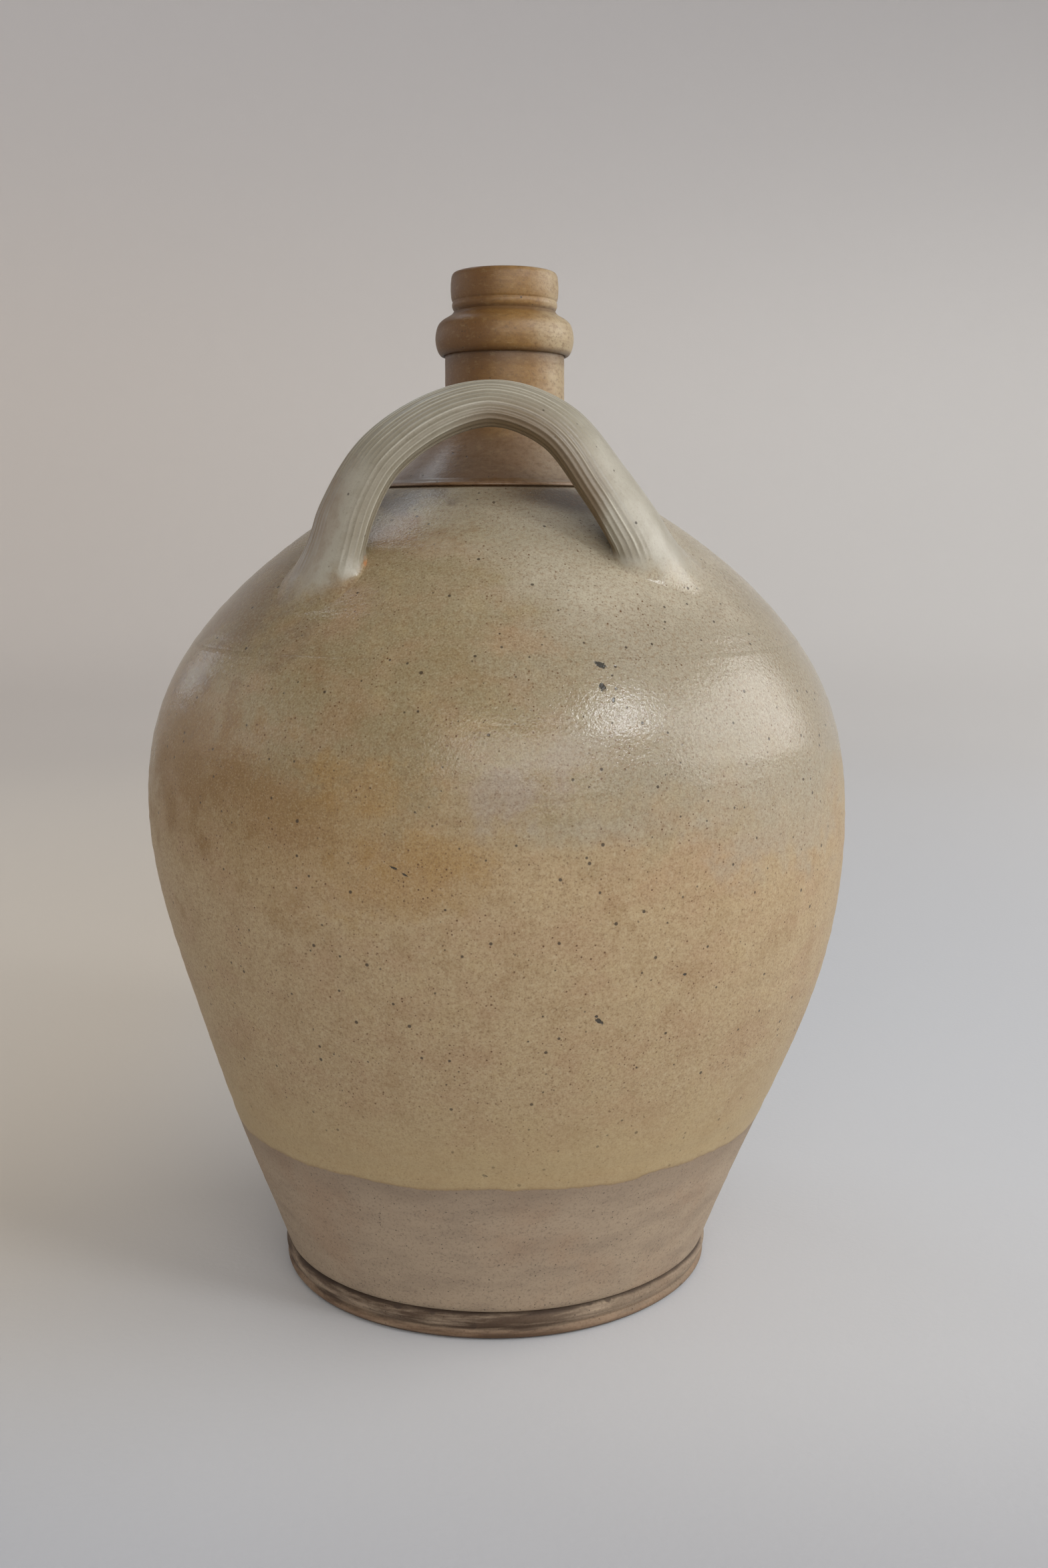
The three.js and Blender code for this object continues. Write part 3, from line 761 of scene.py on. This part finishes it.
# A patch along the outer side of the left leg and its root: umber tint and painted shade on the side away
# from the light.
STRAP_UMBER_AND_SHADE = ((-61.0, -66.0, 287.0), (11.0, 24.0, 34.0), 25)
STRAP_CHIP = ((-42.0, -74.0, 276.6), (1.8, 4.0, 4.2), 20)
CELADON = (163, 157, 142)
POOLED_GLAZE = (118, 108, 86)
RIB_CREST = (185, 179, 163)
UNDERSIDE_TAN_AND_SHADE = (102, 82, 55)

shoulder_heights = np.linspace(shoulder_height, belly_height, DOME_STEPS)
shoulder_radii = wall_radius(shoulder_heights)


def dome_height(radius):
    """Height of the shoulder's outside at a radius, in millimetres."""
    return np.interp(radius, shoulder_radii, shoulder_heights)


root_level = float(dome_height(math.hypot(HANDLE_SPAN / 2, HANDLE_ROOT_OFFSET)))
arch = [(across * HANDLE_SPAN, -(HANDLE_ROOT_OFFSET + (HANDLE_CROWN_OFFSET - HANDLE_ROOT_OFFSET) * up),
         root_level + up * HANDLE_RISE) for across, up in ARCH]


def sunk(end, following):
    """The path's end carried on into the shoulder, so that the strap reaches its root."""
    end, following = np.array(end), np.array(following)
    return end + (end - following) / np.linalg.norm(end - following) * ROOT_DEPTH


strap_path = flowing([sunk(arch[0], arch[1]), *arch, sunk(arch[-1], arch[-2])], ARCH_STEPS)
path_run = np.concatenate([[0], np.cumsum(np.linalg.norm(np.diff(strap_path, axis=0), axis=1))])
path_length = path_run[-1]
root_share = (ROOT_DEPTH + ROOT_HEIGHT) / path_length


def path_point(along):
    """The middle of the strap at shares along its path."""
    run = along * path_length
    return np.stack([np.interp(run, path_run, strap_path[:, axis]) for axis in range(3)], axis=-1)


def unit(vectors):
    """The vectors at a length of 1."""
    return vectors / np.linalg.norm(vectors, axis=-1, keepdims=True)


fine_angle = np.linspace(0, 2 * math.pi, OVAL_STEPS + 1)
fine_oval = np.stack([STRAP_WIDTH / 2 * np.cos(fine_angle), STRAP_THICKNESS / 2 * np.sin(fine_angle)], axis=1)
oval_run = np.concatenate([[0], np.cumsum(np.linalg.norm(np.diff(fine_oval, axis=0), axis=1))])
around = np.arange(STRAP_SIDES) / STRAP_SIDES
strap_angle = np.interp(around * oval_run[-1], oval_run, fine_angle)


def strap_rings(along):
    """Oval rings round the path at shares along it, with the way that points outwards at each point."""
    along = np.asarray(along, float)
    tangent = unit(path_point(along + PATH_NUDGE) - path_point(along - PATH_NUDGE))
    out = unit(np.cross((0, -1, 0), tangent))
    wide = np.cross(out, tangent)
    leg_twist = np.where(along < 0.5, TWIST_LEFT, TWIST_RIGHT)
    twist = np.radians(TWIST_CROWN + (leg_twist - TWIST_CROWN) * np.abs(2 * along - 1))[:, None]
    turned_out = out * np.cos(twist) + np.cross(tangent, out) * np.sin(twist)
    turned_wide = wide * np.cos(twist) + np.cross(tangent, wide) * np.sin(twist)
    scale = 1 + (ROOT_SPREAD - 1) * np.abs(2 * along - 1) ** SPREAD_POWER
    cosine, sine = np.cos(strap_angle)[None, :, None], np.sin(strap_angle)[None, :, None]
    size = scale[:, None, None]
    rings = path_point(along)[:, None] + turned_wide[:, None] * cosine * STRAP_WIDTH / 2 * size
    rings = rings + turned_out[:, None] * sine * STRAP_THICKNESS / 2 * size
    outward = turned_wide[:, None] * cosine * STRAP_THICKNESS + turned_out[:, None] * sine * STRAP_WIDTH
    return rings, unit(outward)


def ribbed(along):
    """How strongly the comb marked each point: less on the underside and where thumbs smeared it."""
    angle = np.degrees(strap_angle)[None, :]
    along = np.asarray(along, float)[:, None]
    under = np.exp(-(((angle - 295) / 42) ** 2))
    left = np.exp(-(((angle - 115) / 38) ** 2)) * eased((0.32 - along) / 0.12)
    right = eased((150 - angle) / 40) * eased((along - 0.58) / 0.16)
    return np.clip(1 - 0.75 * under - 0.95 * left - 0.95 * right, 0, 1)


def strap_ribs():
    """A node tree that combs ribs into a strap: it lowers the clay between them and keeps their crests."""
    tree = bpy.data.node_groups.new("strap_ribs", "GeometryNodeTree")
    sockets = [("strap", "Geometry"), ("rib_count", "Float"), ("rib_depth", "Float")]
    sockets += [("rib_wander", "Float"), ("finish", "Material")]
    for name, kind in sockets:
        tree.interface.new_socket(name, in_out="INPUT", socket_type="NodeSocket" + kind)
    tree.interface.new_socket("strap", in_out="OUTPUT", socket_type="NodeSocketGeometry")
    given = Wire(tree).node("NodeGroupInput")
    place = given.node("GeometryNodeInputPosition")
    round_it = given.node("GeometryNodeInputNamedAttribute", {"Name": "around"}, data_type="FLOAT")
    combed = given.node("GeometryNodeInputNamedAttribute", {"Name": "combed"}, data_type="FLOAT")
    outward = given.node("GeometryNodeInputNamedAttribute", {"Name": "outward"}, data_type="FLOAT_VECTOR")
    waver = place.node("ShaderNodeTexNoise", {"Vector": place, "Scale": 45.0, "Detail": 1.0})
    phase = round_it * given.other("rib_count") + (waver - 0.5) * given.other("rib_wander")
    wave = phase.maths("COSINE", phase * (2 * math.pi)) * 0.5 + 0.5
    crest = wave ** 1.8
    tooth = {"W": round_it * given.other("rib_count"), "Scale": 0.7, "Detail": 0.0}
    uneven = between(place.node("ShaderNodeTexNoise", tooth, noise_dimensions="1D"), 0.25, 0.65)
    crest = crest * (0.35 + uneven * 0.65)
    depth = (crest - 1) * combed * given.other("rib_depth")
    push = place.node("ShaderNodeVectorMath", {0: outward, "Scale": depth}, operation="SCALE")
    moved = given.node("GeometryNodeSetPosition", {"Geometry": given.other("strap"), "Offset": push})
    kept = {"Geometry": moved, "Name": "crest", "Value": crest * combed}
    marked = given.node("GeometryNodeStoreNamedAttribute", kept, data_type="FLOAT", domain="POINT")
    whole = given.node("GeometryNodeRealizeInstances", {"Geometry": marked})
    glazed = given.node("GeometryNodeSetMaterial", {"Geometry": whole, "Material": given.other("finish")})
    given.node("NodeGroupOutput", {0: glazed})
    return tree


comb = strap_ribs()


def strap_layers(place):
    """Grey-cream glaze: pale on rib crests, pooled between them, tan below and partly painted shade there,
    and one with the shoulder's.
    """
    glaze, glaze_roughness, glaze_relief = glaze_layers(place)
    crest, combed, spread, under = (
        place.node("ShaderNodeAttribute", out="Fac", attribute_name=mark)
        for mark in ("crest", "combed", "spread", "under"))
    mottle = cloud(place, 7 * MM, 3.0)
    colour = over(between(mottle, 0.4, 0.7) * 0.25, CELADON, POOLED_GLAZE)
    colour = over(between(combed, 0.1, 0.9) * 0.5, colour, POOLED_GLAZE)
    colour = over(between(crest, 0.35, 0.95) * 0.85, colour, RIB_CREST)
    # Tan underside: partly the glaze's colour, partly painted shade on the faces turned from the light.
    colour = over(under * 0.9, colour, UNDERSIDE_TAN_AND_SHADE)
    # Umber along the outer left leg: partly the glaze's tone, partly painted shade on the side turned from
    # the light.
    umber_and_shade = patch(place, (mottle - 0.5) * 1.2, *STRAP_UMBER_AND_SHADE)
    colour = over(umber_and_shade * 0.85, colour, UMBER_AND_LEFT_SHADE)
    grain = cloud(place, 0.7 * MM, 3.0)
    colour = over(between(grain, 0.5, 0.85) * 0.3, colour, IRON_BROWN)
    spots = specks(place, 6 * MM, 0.7 * MM)
    colour = over(spots * 0.85, colour, IRON_BROWN)
    blend = between(spread + (mottle - 0.5) * 0.8, 0.25, 0.85)
    colour = over(blend, colour, glaze)
    crumbled = (cloud(place, 2.4 * MM) - 0.5) * 1.4
    chip = patch(place, crumbled, *STRAP_CHIP)
    colour = over(chip, colour, CHIPPED_CLAY)
    peel = cloud(place, 0.8 * MM, 1.0)
    roughness = 0.27 + grain * 0.08
    roughness = roughness + blend * (glaze_roughness - roughness) + chip * 0.3
    relief = peel * 0.06 + grain * 0.02 - chip * 0.4
    return colour, roughness, relief + blend * (glaze_relief - relief)


handle_glaze = fired("pooled_handle_glaze", strap_layers)


def strap_mesh(name, rings, marks, mirrored):
    """A strap or root mesh with its marks kept as attributes, or its mirror image for the rear handle."""
    side = np.array((1, -1 if mirrored else 1, 1))
    mesh = skinned(name, rings * side * MM)
    capped = len(mesh.vertices)
    for key, values in marks.items():
        vector = values.ndim == 3
        kind = "FLOAT_VECTOR" if vector else "FLOAT"
        full = np.zeros((capped, 3) if vector else capped, np.float32)
        flat = (values * side).reshape(-1, 3) if vector else values.reshape(-1)
        full[:len(flat)] = flat
        data = mesh.attributes.new(key, kind, "POINT").data
        data.foreach_set("vector" if vector else "value", full.ravel())
    return mesh


def strap_marks(along, outward, spread):
    """Where each point lies round the strap, how much it is combed, and how far it is under or spread."""
    shape = outward.shape[:2]
    angle = np.degrees(strap_angle)
    along_leg = np.asarray(along, float)[:, None]
    # The underside's tan reaches over the inner half of the right leg and grows towards the crown: painted
    # shade where the strap turns from the light.
    shown = eased((along_leg - 0.36) / 0.22) * eased((0.86 - along_leg) / 0.1)
    start, end = 192 - 100 * shown, 215 - 25 * shown
    under = eased((angle - start) / (end - start)) * eased((345 - angle) / 20)
    crown = 0.15 + 0.85 * eased((along_leg - 0.34) / 0.2)
    return {
        "around": np.broadcast_to(around, shape),
        "combed": ribbed(along) * (1 - eased(spread * 1.8)),
        "under": under * crown * (1 - spread),
        "spread": np.broadcast_to(spread, shape),
        "outward": outward,
    }


RIB_SIZES = {"rib_count": RIB_COUNT, "rib_depth": RIB_DEPTH, "rib_wander": RIB_WANDER, "finish": handle_glaze}
strap_along = np.linspace(root_share, 1 - root_share, STRAP_STEPS + 1)
rings, outward = strap_rings(strap_along)
marks = strap_marks(strap_along, outward, np.zeros((STRAP_STEPS + 1, 1)))
for side, mirrored in HANDLES:
    name = side + "_combed_strap"
    strap = placed(name, strap_mesh(name, rings, marks, mirrored))
    worked(strap, comb, RIB_SIZES)
    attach(strap, "root")
    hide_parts(side + "_handle")

# Thumbed roots
# Each strap end is pressed onto the shoulder and thumbed out until it feathers into the dome: widest on the
# outer side, and left with a sharp edge on the side under the arch.
ROOT_STEPS = 36
ROOT_SEARCH = 50.0
LANDING_STEPS = 800
ROOT_NUDGE = 0.03
LEAST_SPREAD = 2.2
CORNER_HUG = 0.72
SKIRT_SINK = 0.7
ROOTS = {
    "left": {"share": root_share, "downwards": -1, "flow": (-0.95, -0.3),
             "reach": 16.0, "narrow": 1.4, "tuck": 0.0},
    "right": {"share": 1 - root_share, "downwards": 1, "flow": (0.9, 0.45),
              "reach": 24.0, "narrow": 1.8, "tuck": 0.35},
}


def landing(points, way):
    """Where lines from the points along one way meet the shoulder's outside."""
    steps = np.linspace(0, ROOT_SEARCH, LANDING_STEPS)
    line = points[:, None] + steps[None, :, None] * way
    inside = np.hypot(line[..., 0], line[..., 1]) < wall_radius(line[..., 2])
    first = np.argmax(inside, axis=1)
    return line[np.arange(len(points)), first]


def root_rings(share, downwards, flow, reach, narrow, tuck):
    """Rings from the strap's end round a corner to a skirt on the shoulder, tucked in towards the neck."""
    ring, out = strap_rings([share])
    start, outward = ring[0], out[0]
    way = unit(path_point(np.array(share + downwards * ROOT_NUDGE)) - path_point(np.array(share)))
    inwards = -unit(start.mean(axis=0)[:2])
    corner = landing(start, unit(way + tuck * np.array((*inwards, 0))))
    sideways = corner - corner.mean(axis=0)
    heading = unit(sideways[:, :2]) @ unit(np.array(flow))
    spread = LEAST_SPREAD + (reach - LEAST_SPREAD) * np.clip((1 + heading) / 2, 0, 1) ** narrow
    skirt = corner + unit(sideways) * spread[:, None]
    skirt[:, 2] = dome_height(np.hypot(skirt[:, 0], skirt[:, 1])) - SKIRT_SINK
    leave = way * np.linalg.norm(corner - start, axis=1, keepdims=True) * CORNER_HUG * 3
    arrive = (skirt - corner) * CORNER_HUG * 3
    step = np.linspace(0, 1, ROOT_STEPS + 1)
    rings = hermite(start[None], leave[None], skirt[None], arrive[None], step[:, None, None])
    return rings, np.broadcast_to(outward, rings.shape), step[:, None]


for end, shape in ROOTS.items():
    rings, outward, spread = root_rings(**shape)
    marks = strap_marks(np.full(ROOT_STEPS + 1, shape["share"]), outward, eased(spread))
    for side, mirrored in HANDLES:
        name = f"{side}_{end}_thumbed_root"
        root = placed(name, strap_mesh(name, rings, marks, mirrored))
        worked(root, comb, RIB_SIZES)
        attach(root, "root")
        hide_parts(f"{side}_{end}_root")

# Studio
# A plain pale floor that sweeps up into a wall all round. A broad window on the right and a soft fill in
# front give most of the light, a small pane shines in the glaze, and two weak cool windows stand behind on
# the left.
FLOOR_PAINT = (205, 206, 209)
WARM_BOUNCE_FLOOR_PAINT = (214, 204, 191)
FRONT_FLOOR_SHADE_PAINT = (178, 179, 184)
WALL_PAINT = (244, 242, 240)
LEFT_WALL_SHADE_PAINT = (218, 210, 203)
HIGH_WALL_SHADE_PAINT = (203, 201, 203)
FLOOR_LINE = ((0.4, 0.0), (1.2, 0.0), (1.9, 0.0), (2.35, 0.1), (2.7, 0.45), (2.8, 0.95), (2.83, 1.6))
SKY_STRENGTH = 0.35
SKY_LEAN = 0.7
# Each window: turn and rise in degrees, distance and size in metres, watts, shine and tint.
WINDOWS = (
    ("right_window", 90, 21, 2.1, (2.2, 1.1), 23.5, 0.14, (1.0, 0.985, 0.965)),
    ("shining_pane", 46, 36, 1.7, (0.3, 0.36), 6.0, 1.0, (0.94, 0.97, 1.0)),
    ("left_fill", -95, 20, 2.2, (1.6, 1.2), 3.2, 0.0, (1.0, 0.95, 0.88)),
    ("rear_left_window", -131, 15, 1.7, (0.08, 0.34), 0.35, 1.0, (0.78, 0.89, 1.0)),
    ("rear_high_window", -138, 53, 1.7, (0.7, 0.24), 1.7, 1.0, (0.84, 0.92, 1.0)),
    ("front_fill", 10, 23, 2.4, (2.0, 1.1), 19.0, 0.0, (1.0, 0.98, 0.95)),
)
AIM = Vector((0, 0, 0.2))
SWEEP_STEPS = 6


def floor_layers(place):
    """Matt paint with the faintest stipple: a warm bounce light painted on the floor left of the jug, painted
    shade on the floor in front, on the left of the wall and, greyer, high on the wall.
    """
    stipple = cloud(place, 2.5 * MM)
    out = place.node("ShaderNodeVectorMath", {0: place}, out="Value", operation="LENGTH")
    apart = place.node("ShaderNodeSeparateXYZ", {0: place})
    # Painted shade: the wall darker towards the left and greyer high up, as the light falls from the right.
    wall = over(between(apart, 1.3, -1.5), WALL_PAINT, LEFT_WALL_SHADE_PAINT)
    wall = over(between(apart.other("Z"), 0.3, 1.5) * 0.8, wall, HIGH_WALL_SHADE_PAINT)
    # A warm bounce light painted into the shadow on the floor left of the jug.
    warm_bounce = between(apart, 0.0, -0.25) * between(apart.other("Y"), -0.25, 0.05)
    floor = over(warm_bounce, FLOOR_PAINT, WARM_BOUNCE_FLOOR_PAINT)
    # Painted shade on the floor in front.
    floor = over(between(apart.other("Y"), -0.08, -0.3), floor, FRONT_FLOOR_SHADE_PAINT)
    paint = over(between(out, 0.3, 2.3), floor, wall)
    return paint, 0.9 + stipple * 0.05, stipple * 0.1


sweep = flowing(FLOOR_LINE, SWEEP_STEPS)
turn = np.linspace(0, 2 * math.pi, TURN_STEPS, endpoint=False)
sweep_rings = np.stack([np.outer(sweep[:, 0], np.cos(turn)), np.outer(sweep[:, 0], np.sin(turn)),
                        np.repeat(sweep[:, 1:], TURN_STEPS, axis=1)], axis=2)
studio = placed("studio_sweep", skinned("studio_sweep", sweep_rings[:, ::-1], capped=(True, False)))
studio.data.materials.append(fired("studio_paint", floor_layers))

world = bpy.data.worlds.new("sky")
world.use_nodes = True
world.node_tree.nodes.clear()
sky = Wire(world.node_tree)
way = sky.node("ShaderNodeTexCoord", out="Generated")
from_right = way.node("ShaderNodeSeparateXYZ", {0: way})
strength = (1 + from_right * SKY_LEAN) * SKY_STRENGTH
light = sky.node("ShaderNodeBackground", {"Color": (1, 1, 1, 1), "Strength": strength})
sky.node("ShaderNodeOutputWorld", {"Surface": light})
bpy.context.scene.world = world

for name, azimuth, elevation, distance, size, power, shine, tint in WINDOWS:
    lamp = bpy.data.lights.new(name, "AREA")
    lamp.shape = "RECTANGLE"
    lamp.size, lamp.size_y = size
    lamp.energy = power
    lamp.color = tint
    lamp.specular_factor = shine
    window = bpy.data.objects.new(name, lamp)
    bpy.context.scene.collection.objects.link(window)
    turned_by, raised = math.radians(azimuth), math.radians(elevation)
    level = math.cos(raised)
    towards = Vector((math.sin(turned_by) * level, -math.cos(turned_by) * level, math.sin(raised)))
    window.location = AIM + towards * distance
    window.rotation_euler = towards.to_track_quat("Z", "Y").to_euler()
    window.visible_camera = False

# Camera
# The jug is seen from the front at arm's length, a little from above.
FRAME_HEIGHT = 2346
FOCAL_LENGTH = 2400
SENSOR = 36.0
LOOKING_DOWN = 8.909
CAMERA_PLACE = (10.363, -618.753, 285.554)

camera_data = bpy.data.cameras.new("camera")
camera_data.sensor_width = SENSOR
camera_data.lens = SENSOR * FOCAL_LENGTH / FRAME_HEIGHT
camera = bpy.data.objects.new("camera", camera_data)
bpy.context.scene.collection.objects.link(camera)
camera.location = [c * MM for c in CAMERA_PLACE]
camera.rotation_euler = (math.radians(90 - LOOKING_DOWN), 0, 0)
bpy.context.scene.camera = camera
bpy.context.scene.view_settings.view_transform = "Standard"
